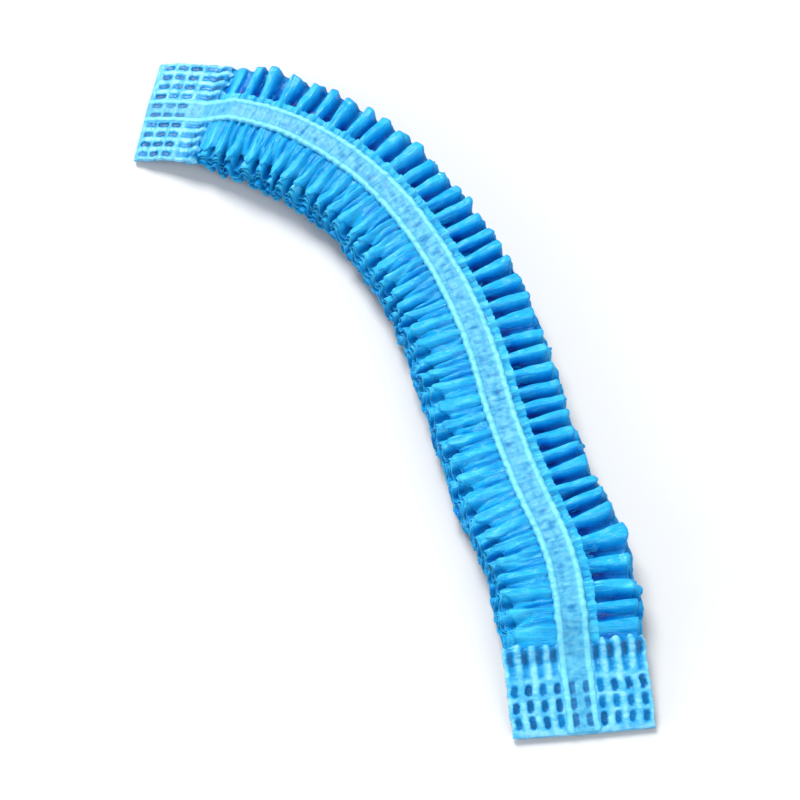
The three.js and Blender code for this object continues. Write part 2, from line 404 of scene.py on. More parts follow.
# %% [markdown]
# ## Creases
# Where film has been pressed in its packet it keeps thin sharp lines. A texture alone could draw them, but
# a few in the mesh catch the light at the edges too. Each is the zero line of a soft noise, which wanders
# like a crease.

# %% Sharp creases
CREASES = [
    # share, creases for each pleat, slant, the millimetres of a bump across, row of the noise table
    (0.65, 2.6, 0.06, 5, 50),
    (0.35, 5.2, -0.1, 3.5, 20),
]
CREASE_SHARPNESS = 3


def crease(pleat, across):
    """A sharp crease now and then, between 0 and 1, that runs nearly straight across the strip."""
    total = 0
    for share, bumps, slant, run, row in CREASES:
        line = 1 - np.abs(soft_noise(bumps * pleat + slant * across, across / run + row)) * CREASE_SHARPNESS
        total = total + share * np.clip(line, 0, 1)
    return total


print("a crease at the start of the strip:", round(float(crease(0.0, 6.0)), 2))

# %% [markdown]
# ## The height of each layer
# The fifteen layers lie one on another, each a spacing below the last, and all with the same wave. Between
# the welds they have room, and in the throat of a weld they are squeezed together. Ripples run beside the
# bands, two for each pleat, with finer crimps on top, as in any gathered hem.

# %% The room for the layers
SPACING = 0.70  # from layer to layer, under the bands
FOLD_SPACING = 0.575  # and at the folds
THROAT_SPACING = 0.5
THROAT_FOLD_SPACING = 0.47
SPACING_NARROWS = (BAND_ZONE, 12)
FULL_STACK = 21  # how far from a weld the stack is at its full height
SQUEEZE = 0.6
SQUEEZE_ENDS = (23.0, 15.8)


def layer_spacing(along, across):
    outward = smooth(np.abs(across), *SPACING_NARROWS)
    in_throat = THROAT_SPACING - (THROAT_SPACING - THROAT_FOLD_SPACING) * outward
    in_body = SPACING - (SPACING - FOLD_SPACING) * outward
    return in_throat + grown(along, FULL_STACK) * (in_body - in_throat)


def squeezed(along):
    """1 in the body, and less where the layers run into the throat of a weld."""
    return 1 - SQUEEZE * smooth(from_end(along), *SQUEEZE_ENDS)


print("spacing of the layers:", SPACING, "mm, and at a weld", float(layer_spacing(0, 0.0)), "mm")

# %% Ripples and crimps
HEM_SIDE_ROW = 11.0
FOLD_SIDE_ROW = 37.0
RIPPLES = 2  # for each pleat
CRIMPS = 3
RIPPLE_DIP = 0.3
ripple_wander = uneven(2.2, 1 / 2, 0, run=6)
ripple_size = uneven(0.5, 1, 30)
crimp_wander = uneven(3.0, 1 / 1.5, 20, run=5)
crimp_size = uneven(0.6, 1.5, 35)


def side_row(across):
    """The two sides of the strip read different rows of the noise table."""
    return np.where(across > 0, HEM_SIDE_ROW, FOLD_SIDE_ROW)


def gathers(pleat, across, top):
    turn, side = 2 * math.pi * pleat, side_row(across)
    ripple = np.cos(RIPPLES * turn + ripple_wander(pleat, across, side)) - RIPPLE_DIP
    crimp = np.cos(CRIMPS * turn + crimp_wander(pleat, across, side))
    ripples = sized("ripple", across, top) * ripple * (1 + ripple_size(pleat, more_rows=side))
    return ripples + sized("crimp", across, top) * crimp * (1 + crimp_size(pleat, more_rows=side))


print("gathers beside the tape:", np.round(gathers(np.linspace(0, 1, 5), 5.0, 1), 2))

# %% Dents and creases of a layer
LOOSE_ZONE = (3.6, 7)
OUTER_ZONE = (8, 13)
CREASE_DEPTH = 0.3
APART = 0.13  # how much a layer has a relief of its own
MORE_APART = 0.08
OWN_BUMPS = 1.7  # for each pleat
OWN_RUN = 5
OWN_SHIFTS = (7.3, 3.1)  # from layer to layer, along and across the noise table
dents = uneven(0.2, 2.2, 50, run=2.5)


def fine_relief(pleat, across, layer):
    """Dents and creases that all the layers share, and a little that each has alone."""
    loose = smooth(np.abs(across), *LOOSE_ZONE)
    shared = (dents(pleat, across) - CREASE_DEPTH * crease(pleat, across)) * loose
    apart = APART * loose + MORE_APART * smooth(np.abs(across), *OUTER_ZONE)
    shift_along, shift_across = OWN_SHIFTS
    own = soft_noise(OWN_BUMPS * pleat + shift_along * layer, across / OWN_RUN + shift_across * layer)
    return shared + apart * own


print("relief along a crest:", np.round(fine_relief(np.linspace(0, 1, 5), 10.0, 1), 2))

# %% The height of a place on a layer
HEM_ZONE = (3.5, 4.8)  # where an outer layer lies flat as a hem
HEM_FLATNESS = 0.8
WELD_END_PLEATS = 0.36  # the share of its height that a pleat has beside a weld
FULL_PLEATS = 9  # how far from a weld they are at their full height
LEAST_GAP = 0.03  # between layers where the table flattens the lowest pleats
crest_height = uneven(0.2, 1, 3)
crest_lumps = uneven(0.1, 2, 0, run=3)
valley_depth = uneven(0.2, 1, 9, shift=0.5)


def layer_height(pleat, across, layer):
    """The height of a layer, for its place in pleats from the first end and its distance across."""
    along = along_of(pleat)
    top = 1 - layer / (LAYERS - 1)
    side = side_row(across)
    tall = 1 + crest_height(pleat, more_rows=side) + crest_lumps(pleat, across, side)
    crest = sized("crest", across, top) * tall
    valley = sized("valley", across, top) * (1 + valley_depth(pleat, more_rows=side))
    if layer == 0:
        valley = valley * (1 - HEM_FLATNESS * smooth(across, *HEM_ZONE))
    if layer == LAYERS - 1:
        crest = crest * (1 - HEM_FLATNESS * smooth(-across, *HEM_ZONE))
    lift = (crest - valley) / 2 + (crest + valley) / 2 * pleat_wave(pleat, across, top)
    lift = lift + gathers(pleat, across, top) + fine_relief(pleat, across, layer)
    lift = lift * (WELD_END_PLEATS + (1 - WELD_END_PLEATS) * grown(along, FULL_PLEATS))
    stack = (MIDDLE_LAYER - layer) * layer_spacing(along, across)
    height = middle_height(along) + (stack + lift) * squeezed(along)
    return np.maximum(height, LEAST_GAP * (LAYERS - 1 - layer))


print("the top layer half-way along:", round(float(layer_height(PLEATS / 2, 8.0, 0)), 1), "mm high")

# %% [markdown]
# ## Light and dark in the pleats
# Clear film looks pale where light comes through one layer and deep blue where it has crossed many, at the
# bottom of a pleat. Tracing light through fifteen layers would need a long render to settle. So each place
# on the mesh keeps a mark of painted shade, worked out from how deep it lies, and the film's finish takes
# its
# tint from that: darker in the gaps, under the hem, beside the tape, along creases and in a weld's throat,
# and paler with painted light where light reaches a pleat's outer end.

# %% How deep a place lies
TALL_PLEAT = 3.0  # a pleat as tall as this gets the full painted shade at the bottom
LAYERS_TO_TURN = 3  # how many layers it takes from what shows on top to what shows underneath


def pleat_depth(pleat, across, layer):
    """0 on a crest and about 1 at the bottom of a tall pleat. The lower layers show from underneath, so with
    them it is the other way up."""
    top = 1 - layer / (LAYERS - 1)
    hem_above = np.where(layer == 0, smooth(across, *HEM_ZONE), 0)
    hem_below = np.where(layer == LAYERS - 1, smooth(-across, *HEM_ZONE), 0)
    tall = (sized("crest", across, top) + sized("valley", across, top)) * (1 - hem_above - hem_below)
    facing = np.clip((MIDDLE_LAYER - layer) / LAYERS_TO_TURN, -1, 1)
    return tall / 2 * (1 - facing * pleat_wave(pleat, across, top)) / TALL_PLEAT


print("a crest and a valley:", np.round(pleat_depth(np.array([0.5, 1.0]), 8.0, 1), 2))

# %% What shades it, and what lets light in: painted shade and painted light
HEM_SHADE_CONTRAST = 1.25  # painted shade and painted light: the high pleats beside the hem get paler crests and darker gaps
HEM_EDGE = (5, 6)
INNER_END = (6.5, 9.5)
INNER_END_SHADE = 0.5  # painted shade: a gap is darkest where it runs in under the hem
# painted shadow under the hem
UNDER_HEM_SHADE = 0.09
# painted shade beside the tape, fading out across this zone
BESIDE_TAPE = (3.5, 9.5)
BESIDE_TAPE_SHADE = 0.15
LIT_ZONE = (6, 11.5)
FOLD_LIT_SHARE = 0.62  # painted light: how much of the painted shade is taken away where light reaches a pleat's outer end
HEM_LIT_SHARE = 0.64
SHALLOW_SHARE = 0.3  # the painted shade is that much weaker in the low pleats beside a weld
SHALLOW_LENGTH = 7
# painted shade along the creases
CREASE_SHADE = 0.1
WELD_LENGTH = 17.5
# painted shade in the throat of a weld, where it falls and how strong it is
THROAT_SHADE = (WELD_LENGTH + 0.2, WELD_LENGTH - 0.6)
THROAT_SHADE_STRENGTH = 0.8
# the most painted shade that a place can get
DARKEST_SHADE = 1.25


def painted_shade(pleat, across, layer):
    """How much painted shade a place gets: 0 on an open crest and 1 deep in a gap."""
    along = along_of(pleat)
    out = np.abs(across)
    folded_side = (across < 0) == (layer < MIDDLE_LAYER)
    under_hem = np.where(folded_side, 0, smooth(out, *HEM_EDGE))
    inner_end = under_hem * (1 - smooth(out, *INNER_END))
    deep = pleat_depth(pleat, across, layer)
    deep = np.where(folded_side, deep, deep**HEM_SHADE_CONTRAST * (1 + INNER_END_SHADE * inner_end))
    lit_share = np.where(folded_side, FOLD_LIT_SHARE, HEM_LIT_SHARE) * smooth(out, *LIT_ZONE)
    shallow = SHALLOW_SHARE * (1 - grown(along, SHALLOW_LENGTH))
    beside_tape = np.where(folded_side, BESIDE_TAPE_SHADE * (1 - smooth(out, *BESIDE_TAPE)), 0)
    shown = deep * (1 - lit_share) * (1 - shallow) + CREASE_SHADE * crease(pleat, across)
    shown = shown + UNDER_HEM_SHADE * under_hem + beside_tape
    return np.clip(shown + THROAT_SHADE_STRENGTH * smooth(from_end(along), *THROAT_SHADE), 0, DARKEST_SHADE)


print("a valley from the hem outwards:", np.round(painted_shade(PLEATS // 2, np.linspace(6, 12, 4), 1), 2))

# %% [markdown]
# ## The place of each pleat
# Real pleats lean, slant and stand unevenly far apart. A noise on the finished mesh would do that blindly.
# Here it shifts the places along the strip before they are laid on the line, so all the layers keep
# together.

# %% Where a pleat lies along the strip
FLANK = PITCH / (2 * math.pi)
STEEPNESS = 0.35 / 2  # how far a flank is pushed towards its crest
LEAN = 0.4
SHIFT_ZONE = (3.5, 12)
HEM_PLACE_ROW = 5.0
FOLD_PLACE_ROW = 23.0
LEAST_SHIFT = 0.25  # the share that is left beside a weld
lean_noise = uneven(1.0, 1 / 2, 40, shift=0.3)
slant_noise = uneven(0.1, 0.8, 60)
bend_noise = uneven(0.25, 0.9, 70, run=4)
sway_noise = uneven(0.45, 0.7, 81)


def pleat_along(pleat, across):
    turn = 2 * math.pi * pleat
    out = smooth(np.abs(across), *SHIFT_ZONE)
    side = np.where(across > 0, HEM_PLACE_ROW, FOLD_PLACE_ROW)
    steeper = FLANK * STEEPNESS * np.sin(2 * turn) * out
    lean = FLANK * LEAN * lean_noise(pleat, more_rows=side) * out * np.cos(turn)
    slant = slant_noise(pleat, more_rows=side) * np.maximum(np.abs(across) - BAND_ZONE, 0)
    bend = bend_noise(pleat, across) * out
    still = LEAST_SHIFT + (1 - LEAST_SHIFT) * grown(along_of(pleat), FULL_PLEATS)
    return along_of(pleat) + (steeper - lean + slant + bend + sway_noise(pleat)) * still


print("the tenth pleat:", np.round(pleat_along(10.0, np.array([-12.0, 0.0, 12.0])), 1), "mm along")

# %% [markdown]
# ## The folds
# The sheet turns over at the left and at the right by turns. Each turn is a small round nose, and its reach
# to the side goes in and out with the pleats: a crest stands out, and a valley draws in. Bending a flat
# sheet with a modifier would make all the folds alike. The first fold here is short, so the one below it
# shows past its edge.

# %% The reach of each fold
FOLD_REACH = [12.5, 14.3, 14.0, 14.6, 14.3, 14.9, 14.6]  # from the top: left and right by turns
FOLD_REACH = FOLD_REACH + FOLD_REACH[::-1]
NOSE = 0.5  # from its middle to its tip
TOOTH = {0: 1.1, 1: 0.35, 12: 0.35, 13: 1.1}  # how far the crests of the outermost folds stand out
INNER_TOOTH = -0.25  # the crests of the others draw in
TOOTH_MIDDLE = 0.25
FOLD_ROW = 90
SMALL_ROW = 91
ROWS_FOR_A_FOLD = 3
FOLD_SHIFT = 0.37
WELD_END_REACH = 0.95
LEAST_REACH = 0.25
FULL_REACH = 7
fold_noise = uneven(0.8, 1, FOLD_ROW)
small_noise = uneven(0.25, 3, SMALL_ROW)


def fold_side(fold):
    """-1 for a fold on the left and 1 for one on the right."""
    return -1 if fold % 2 == 0 else 1


def fold_reach(fold, pleat):
    """How far out the middle of a fold's nose lies."""
    along = along_of(pleat)
    up = 1 if fold < len(FOLD_REACH) / 2 else -1
    tooth = TOOTH.get(fold, INNER_TOOTH) * (-np.cos(2 * math.pi * pleat) * up - TOOTH_MIDDLE)
    rows = ROWS_FOR_A_FOLD * fold
    wander = fold_noise(pleat + FOLD_SHIFT * fold, more_rows=rows)
    wander = tooth + wander + small_noise(pleat, more_rows=rows)
    narrow = WELD_END_REACH + (1 - WELD_END_REACH) * grown(along, FULL_PLEATS)
    loose = LEAST_REACH + (1 - LEAST_REACH) * grown(along, FULL_REACH)
    return FOLD_REACH[fold] * narrow + wander * loose - NOSE


print("fold reaches, from the top:", FOLD_REACH)

# %% The outer hems
HEM = 5.3  # how far out the two outer hems reach
UPPER_HEM_ROW = 33.0
LOWER_HEM_ROW = 35.0
HEM_TEETH = 3  # for each pleat
HEM_TOOTH = 0.07
hem_wander = uneven(2, 1, 0)
hem_noise = uneven(0.16, 2.5, 0)


def hem_reach(pleat, row):
    teeth = HEM_TOOTH * np.cos(HEM_TEETH * 2 * math.pi * pleat + hem_wander(pleat, more_rows=row))
    return HEM + teeth + hem_noise(pleat, more_rows=row)


print("the upper hem reaches", np.round(hem_reach(np.arange(4.0), UPPER_HEM_ROW), 2), "mm out")

# %% [markdown]
# ## The sheet
# The web is laid out column by column, from the upper hem through all the folds to the lower hem. An even
# grid would waste most of its points inside the stack. Here the layers that show get a column every half
# millimetre, and the hidden ones only what their noses need. The sheet is kept as two meshes, cut in the
# nose of an inner fold.

# %% The columns of a layer
TOP_LAYER = np.array(
    [5.3, 4.9, 4.5, 4.1, 3.7, 3.3, 1.5, -1.5, -3.3, -3.8, -4.4, -5, -5.6, -6.2, -6.8, -7.4, -8, -8.6]
    + [-9.2, -9.7, -10.2, -10.7, -11.2, -11.6]
)
SECOND_LAYER = np.array(
    [-9, -3, 3, 4, 4.6, 5.1, 5.5, 6, 6.6, 7.2, 7.8, 8.4, 9, 9.6, 10.2, 10.8, 11.4, 12, 12.5, 13, 13.4]
)
INNER_LAYER = np.array([-13.2, -12.4, -11.2, 0, 11.2, 12.4, 13.2])


def layer_columns(layer):
    """The places across, from a layer's start to its end, where its folds have their usual reach."""
    outer = {0: TOP_LAYER, 1: SECOND_LAYER, LAYERS - 2: -SECOND_LAYER[::-1], LAYERS - 1: -TOP_LAYER[::-1]}
    return outer.get(layer, INNER_LAYER * (1 if layer % 2 else -1))


def layer_ends(layer, fold_place, hem_place):
    """Where a layer starts and ends. The two functions give the place of a fold, and of an outer hem."""
    start = hem_place(0) if layer == 0 else fold_place(layer - 1)
    end = hem_place(1) if layer == LAYERS - 1 else fold_place(layer)
    return start, end


print("columns in the first three layers:", [len(layer_columns(layer)) for layer in range(3)])

# %% The columns of a nose
NOSE_ANGLES = (50, 0, -50)
NOSE_SWELL = 1.12


def nose_columns(fold, pleat):
    """Three columns round the nose of a fold: upper side, tip and lower side."""
    side, reach = fold_side(fold), fold_reach(fold, pleat)
    above = layer_height(pleat, side * reach, fold)
    below = layer_height(pleat, side * reach, fold + 1)
    made = []
    for angle in NOSE_ANGLES:
        out = NOSE * math.cos(math.radians(angle))
        swell = NOSE_SWELL * math.sin(math.radians(angle))
        height = (above + below) / 2 + (above - below) / 2 * swell
        made.append((side * (reach + out), height, np.full_like(pleat, fold + 0.5)))
    return made


print("the tip of the second fold's nose:", round(float(nose_columns(1, np.zeros(1))[1][0][0]), 1), "mm out")

# %% A layer and its nose
def layer_and_nose(layer, pleat):
    """The columns of a layer and of the fold that ends it: across, height and layer, at all the stations."""
    start, end = layer_ends(
        layer,
        lambda fold: fold_side(fold) * fold_reach(fold, pleat),
        lambda last: -hem_reach(pleat, LOWER_HEM_ROW) if last else hem_reach(pleat, UPPER_HEM_ROW),
    )
    usual_start, usual_end = layer_ends(
        layer, lambda fold: fold_side(fold) * (FOLD_REACH[fold] - NOSE), lambda last: -HEM if last else HEM
    )
    shares = list((layer_columns(layer) - usual_start) / (usual_end - usual_start))
    if layer > 0:
        shares = [0.0] + shares
    if layer < LAYERS - 1:
        shares = shares + [1.0]
    made = []
    for share in shares:
        across = start + share * (end - start)
        made.append((across, layer_height(pleat, across, layer), np.full_like(pleat, layer)))
    return made + (nose_columns(layer, pleat) if layer < LAYERS - 1 else [])


print("the first layer and its nose have", len(layer_and_nose(0, np.zeros(1))), "columns")

# %% The two halves of the web
STATIONS = 20  # for each pleat
INTO_THROAT = 0.25  # in pleats
TINY = 1e-9
ONLY_FIRST_MARK = np.array([1, 0, 0])  # a mesh keeps three marks, and the film's finish reads one: its painted shade


def pleated_web(name, layers):
    """A piece of the sheet, with some of its layers."""
    pleat = np.arange(-INTO_THROAT, PLEATS + INTO_THROAT + TINY, 1 / STATIONS)
    columns = [column for layer in layers for column in layer_and_nose(layer, pleat)]
    if layers[-1] < LAYERS - 1:
        columns.append(layer_and_nose(layers[-1] + 1, pleat)[0])
    across, height, layer = (np.stack([column[part] for column in columns], axis=1) for part in range(3))
    along = pleat_along(pleat[:, None], across)
    points = on_strip(along, across, height)
    # the painted shade of each place, kept as the first mark
    shade_mark = painted_shade(pleat[:, None], across, layer)
    marks = shade_mark[..., None] * ONLY_FIRST_MARK
    web = np.linalg.norm(np.diff(points, axis=1), axis=2).sum(axis=1).mean()
    length = np.linalg.norm(np.diff(points, axis=0), axis=2).sum(axis=0).mean()
    print(name, "is", round(float(web), 3), "m of web by", round(float(length), 3), "m along its pleats")
    return grid_mesh(name, points, np.stack([along, across, layer], axis=-1), marks)


UPPER_LAYERS = 7  # how many of them the upper half has
upper_film = pleated_web("upper_film", range(UPPER_LAYERS))
lower_film = pleated_web("lower_film", range(UPPER_LAYERS, LAYERS))

# %% [markdown]
# ## The elastic bands
# Each free edge of the sheet carries a flat tape with an elastic thread along both of its sides. The
# threads show as two round welts with a thin channel between them, and the tape is spot-welded to every
# pleat. A curve with a profile makes a fine tape, but its spots and cross wrinkles couldn't follow the
# pleats, so it is a grid too.

# %% Welts and weld spots
BAND_HALF = 3.4
BAND_THICKNESS = 0.8
WELT_MIDDLE = 2.62
WELT_HALF = 0.7
SPOT_HALF_LENGTH = 0.55
SPOT_STRENGTH = 0.75
SPOT_EDGE = 1.3
place_noise = uneven(0.12, 1, 14)
offset_noise = uneven(0.7, 1, 15, shift=0.5)
width_noise = uneven(0.35, 1, 19, shift=0.5)
strength_noise = uneven(0.4, 1, 18, shift=0.5)


def welt(across):
    """1 on top of an elastic thread, 0 beside it."""
    off = np.clip(np.abs(np.abs(across) - WELT_MIDDLE) / WELT_HALF, 0, 1)
    return np.sqrt(np.clip(1 - off**2, 0, 1))


def weld_spot(pleat, across):
    """Near 1 in the middle of the spot that holds the tape to a pleat."""
    turn = pleat - 0.5 + place_noise(pleat)
    number = np.round(turn)
    away_along = (turn - number) * PITCH / SPOT_HALF_LENGTH
    away_across = (across + offset_noise(number)) / (1 + width_noise(number))
    away = away_along**2 + away_across**2
    return (SPOT_STRENGTH + strength_noise(number)) * np.exp(-(away**SPOT_EDGE))


print("the tenth spot:", round(float(weld_spot(10.5, 0.0)), 2))

# %% The tape's weave
LATTICE_PITCH = 2.1
LATTICE_EDGE = (1.5, 2.1)
LATTICE_STRENGTH = 0.6
lattice_wander = uneven(2, 1 / 5, 72)
lattice_noise = uneven(0.5, 1 / 3, 75, run=2)


def lattice(along, across):
    """The crossing ribs of the tape's weave, between the welts: 1 on a rib and -1 in a hollow."""
    turn = 2 * math.pi / LATTICE_PITCH
    phase, slant = turn * along, turn / 2 * across
    ribs = np.cos(phase + lattice_wander(along) + slant) * np.cos(phase - slant)
    strength = LATTICE_STRENGTH + lattice_noise(along, across)
    return ribs * (1 - smooth(np.abs(across), *LATTICE_EDGE)) * strength


print("the weave along the channel:", np.round(lattice(np.linspace(0, LATTICE_PITCH, 5), 0.0), 2))

# %% The tape's relief
WELT_HEIGHT = 0.34
GATHER_HEIGHT = 0.05
GATHERS = 2  # for each pleat
LATTICE_HEIGHT = 0.07
SPOT_DEPTH = 0.15
LUMP_ROW = 60
LUMP_SIDE_ROWS = 4  # the rows between the two welts
broad_lumps = uneven(0.2, 1.7, 0, run=1)
small_lumps = uneven(0.3, 3.4, LUMP_ROW)
coarse_wrinkles = uneven(0.10, 4, 30, run=2)
fine_wrinkles = uneven(0.07, 8, 70, run=1)
gather_wander = uneven(3, 1, 16)


def tape_relief(along, across):
    """How high the tape's face stands above the bottom of its channel."""
    pleat = (along - FILM_START) / PITCH
    lumps = 1 + broad_lumps(pleat, across) + small_lumps(pleat, more_rows=np.sign(across) * LUMP_SIDE_ROWS)
    wrinkles = coarse_wrinkles(pleat, across) + fine_wrinkles(pleat, across)
    gathered = GATHER_HEIGHT * np.cos(GATHERS * 2 * math.pi * pleat + gather_wander(pleat))
    woven = LATTICE_HEIGHT * lattice(along, across)
    pressed = SPOT_DEPTH * weld_spot(pleat, across)
    return WELT_HEIGHT * welt(across) * lumps + wrinkles + gathered + woven - pressed


print("relief across the tape:", np.round(tape_relief(LENGTH / 2, np.linspace(-3, 3, 5)), 2))

# %% Where the bands lie
HALF_STACK = 1.45  # at a weld
FULL_HALF_STACK = 2.075
SEAT_GAP = 0.9
MORE_SEAT_GAP = 0.15


def band_seat(along):
    """How far from the strip's middle a band's inner face lies."""
    half_stack = HALF_STACK + (FULL_HALF_STACK - HALF_STACK) * grown(along, FULL_STACK)
    return 2 * half_stack + SEAT_GAP + MORE_SEAT_GAP * grown(along, FULL_PLEATS)


print("a band's inner face lies", round(float(band_seat(LENGTH / 2)), 2), "mm from the middle of the strip")

# %% [markdown]
# ## The welded ends
# A hot toothed jaw has pressed all the layers of film and the ends of the bands into one pad. It leaves
# rows of small pits, with a light lattice between them. Next to the pad the layers open again in a short
# throat, with grooves that run on from the columns of pits. Cutting each pit with a boolean would leave
# hard edges, so the relief is a formula: 1 in a pit or on a rib, and 0 beside it.

# %% Pits
PIT_ROWS = [2.6, 5.8, 9.0]
COLUMN_PITCH = 2.9
PIT_LENGTH = 2.55
PIT_WIDTH = 1.35
PIT_ROUNDNESS = 3  # 2 makes an ellipse, and more makes it squarer
PIT_EDGE = (0.72, 1.15)
PIT_STRENGTH = 0.8
pit_length = uneven(0.2, 1, 6, run=1 / 1.7, shift=0.5)
pit_place = uneven(0.2, 1, 0, run=1 / 1.3, shift=0.5)
pit_depth = uneven(0.3, 0.7, 90, run=1)


def in_column(across):
    """The distance to the middle of the nearest column of pits."""
    column = across / COLUMN_PITCH - 0.5
    return (column - np.round(column)) * COLUMN_PITCH


def pit(distance, across):
    """1 in the bottom of a pit and 0 on the lattice, by the distance from the cut edge."""
    row = np.argmin([np.abs(distance - middle) for middle in PIT_ROWS], axis=0)
    middle = np.take(PIT_ROWS, row)
    column = np.floor(across / COLUMN_PITCH)
    half_length = PIT_LENGTH / 2 * (1 + pit_length(middle, column))
    off_along = np.abs(distance - middle - pit_place(middle, column)) / half_length
    off_across = np.abs(in_column(across)) / (PIT_WIDTH / 2)
    off = (off_along**PIT_ROUNDNESS + off_across**PIT_ROUNDNESS) ** (1 / PIT_ROUNDNESS)
    return (1 - smooth(off, *PIT_EDGE)) * (PIT_STRENGTH + pit_depth(middle, column))


print("a pit and the lattice beside it:", np.round(pit(PIT_ROWS[0], COLUMN_PITCH * np.array([0.5, 1.0])), 2))

# %% Ribs
RIB_EDGE = (0.6, 1.2)
CROSS_RIB_EDGE = (1.1, 1.7)
CROSS_RIB_STRENGTH = 0.8
LATTICE_END = (PIT_ROWS[-1] + 1.8, PIT_ROWS[-1] + 2.6)


def rib(across):
    """1 on a rib of the lattice, half-way between two columns of pits, and 0 beside it."""
    return smooth(np.abs(in_column(across)), *RIB_EDGE)


def cross_rib(distance):
    """1 on a rib that runs across, between two rows of pits."""
    off = np.min([np.abs(distance - middle) for middle in PIT_ROWS], axis=0)
    return CROSS_RIB_STRENGTH * smooth(off, *CROSS_RIB_EDGE) * (1 - smooth(distance, *LATTICE_END))


print("a column of pits and the rib beside it:", rib(COLUMN_PITCH * np.array([0.5, 1.0])))

# %% Grooves of the throat
PAD_LENGTH = 14
GROOVE_START = 11.2
GROOVE_BEGINS = 0.8  # in how many millimetres a groove begins
GROOVE_DEEPENS = (PAD_LENGTH - 0.5, PAD_LENGTH + 1.2)
GROOVE_FADE = 0.45  # how much shallower a groove is at the mouth
GROOVE_FADES = (0.5, 1)
GROOVE_STRENGTH = 0.85
GROOVE_MIDDLE = 0.15  # its bottom reaches this far, as a share of the way to the edge of its column
GROOVE_EDGE = 0.6  # and its flank this far
GROOVE_WIDENS = 0.2
TAPE_EDGE = (BAND_HALF - 0.2, BAND_HALF + 0.3)
groove_place = uneven(0.3, 1, 41)
groove_start = uneven(0.5, 1, 42)
groove_width = uneven(0.2, 1, 43)
groove_depth = uneven(0.3, 1, 44)


def throat(distance):
    """0 on the pad and 1 at the mouth, where the pleats come in."""
    return np.clip((distance - PAD_LENGTH) / (WELD_LENGTH - PAD_LENGTH), 0, 1)


def groove(distance, across):
    """1 in the bottom of a groove of the throat. Each groove has its own depth, width and place."""
    column = np.floor(across / COLUMN_PITCH) + 0.5
    off = np.abs(in_column(across) + groove_place(column) * throat(distance)) / (COLUMN_PITCH / 2)
    start = GROOVE_START + groove_start(column)
    deep = (smooth(distance, start, start + GROOVE_BEGINS) + smooth(distance, *GROOVE_DEEPENS)) / 2
    deep = deep * (1 - GROOVE_FADE * smooth(throat(distance), *GROOVE_FADES))
    wide = GROOVE_EDGE + (GROOVE_WIDENS + groove_width(column)) * throat(distance)
    return deep * (GROOVE_STRENGTH + groove_depth(column)) * (1 - smooth(off, GROOVE_MIDDLE, wide))


def taped(across):
    """1 under the tape and 0 beside it."""
    return 1 - smooth(np.abs(across), *TAPE_EDGE)


print("a groove at the mouth:", round(float(groove(PAD_LENGTH + 2.0, COLUMN_PITCH / 2)), 2))

# %% [markdown]
# ## The surface of a welded end
# A pad could be two sheets joined at a rim. A closed ring of points round each cross section is simpler: it
# runs over the upper face and back over the lower one, and the first and the last ring are closed with one
# face each. Both faces start from the thickness of the pad, and the pits, grooves and ribs are taken from
# it or added.

# %% Where the tape's channel lies
PAD_HALF_THICKNESS = 0.6
CHANNEL_DEPTH = 0.62  # below the outer face of the plain band
CHANNEL_OVER_SEAT = BAND_THICKNESS - CHANNEL_DEPTH
CHANNEL_OVER_PAD = 0.05


def tape_channel(along):
    """How far from the strip's middle the bottom of the tape's channel lies, free or pressed into a weld."""
    free = band_seat(along) * squeezed(along) + CHANNEL_OVER_SEAT
    pressed = PAD_HALF_THICKNESS + CHANNEL_OVER_PAD
    return pressed + (free - pressed) * smooth(throat(from_end(along)), 0, 1)


print("the channel, from a cut edge inwards:", np.round(tape_channel(np.array([0.0, 16.0, 40.0])), 2), "mm")

# %% The thickness of a welded end
WELD_HALF_WIDTH = 14.5
MOUTH_HALF_HEIGHT = 2.35
LIP = 1.0  # how far the edge of the mouth turns in, under the first pleat
LIP_ZONE = (WELD_LENGTH - 0.9, WELD_LENGTH + 0.6)
PIT_DEPTH = 0.36
GROOVE_DEPTH = 0.52
RIB_HEIGHT = 0.11
CROSS_RIB_SHARE = 0.7
RIBS_BEGIN = (0.8, 2.0)
EDGE_ROUNDING = 0.22  # at the long sides
MOUTH_ROUNDING = 1.1
EDGE_ZONE = (WELD_HALF_WIDTH - 1.0, WELD_HALF_WIDTH)
RIM = 0.15  # at the cut edge
RIM_ZONE = (0, 0.5)
TAPE_COVER = 0.2  # how deep the pad's surface lies under the bottom of the tape's channel
fine_crumple = uneven(0.05, 1.9, 0, run=2.6)
broad_crumple = uneven(0.05, 0.5, 0, run=1)


def weld_half(distance, across, along, row):
    """Half the thickness of a welded end, at a distance from its cut edge."""
    open_share = smooth(throat(distance), 0, 1)
    plain = PAD_HALF_THICKNESS + (MOUTH_HALF_HEIGHT - PAD_HALF_THICKNESS) * open_share
    raised = np.maximum(rib(across), CROSS_RIB_SHARE * cross_rib(distance)) * smooth(distance, *RIBS_BEGIN)
    lip = LIP * smooth(distance, *LIP_ZONE)
    loose = plain - lip - GROOVE_DEPTH * groove(distance, across) + RIB_HEIGHT * raised
    under_tape = tape_channel(along) - TAPE_COVER
    crumple = fine_crumple(distance, across, row) + broad_crumple(distance, across, row)
    edge = (EDGE_ROUNDING + MOUTH_ROUNDING * open_share) * smooth(np.abs(across), *EDGE_ZONE)
    rim = RIM * (1 - smooth(distance, *RIM_ZONE))
    pressed = PIT_DEPTH * pit(distance, across)
    return loose + (under_tape - loose) * taped(across) - pressed + crumple - edge - rim


half_pad = weld_half(PIT_ROWS[1], 2 * COLUMN_PITCH, PIT_ROWS[1], 0)
print("half a pad is", round(float(half_pad), 2), "mm thick between its pits")

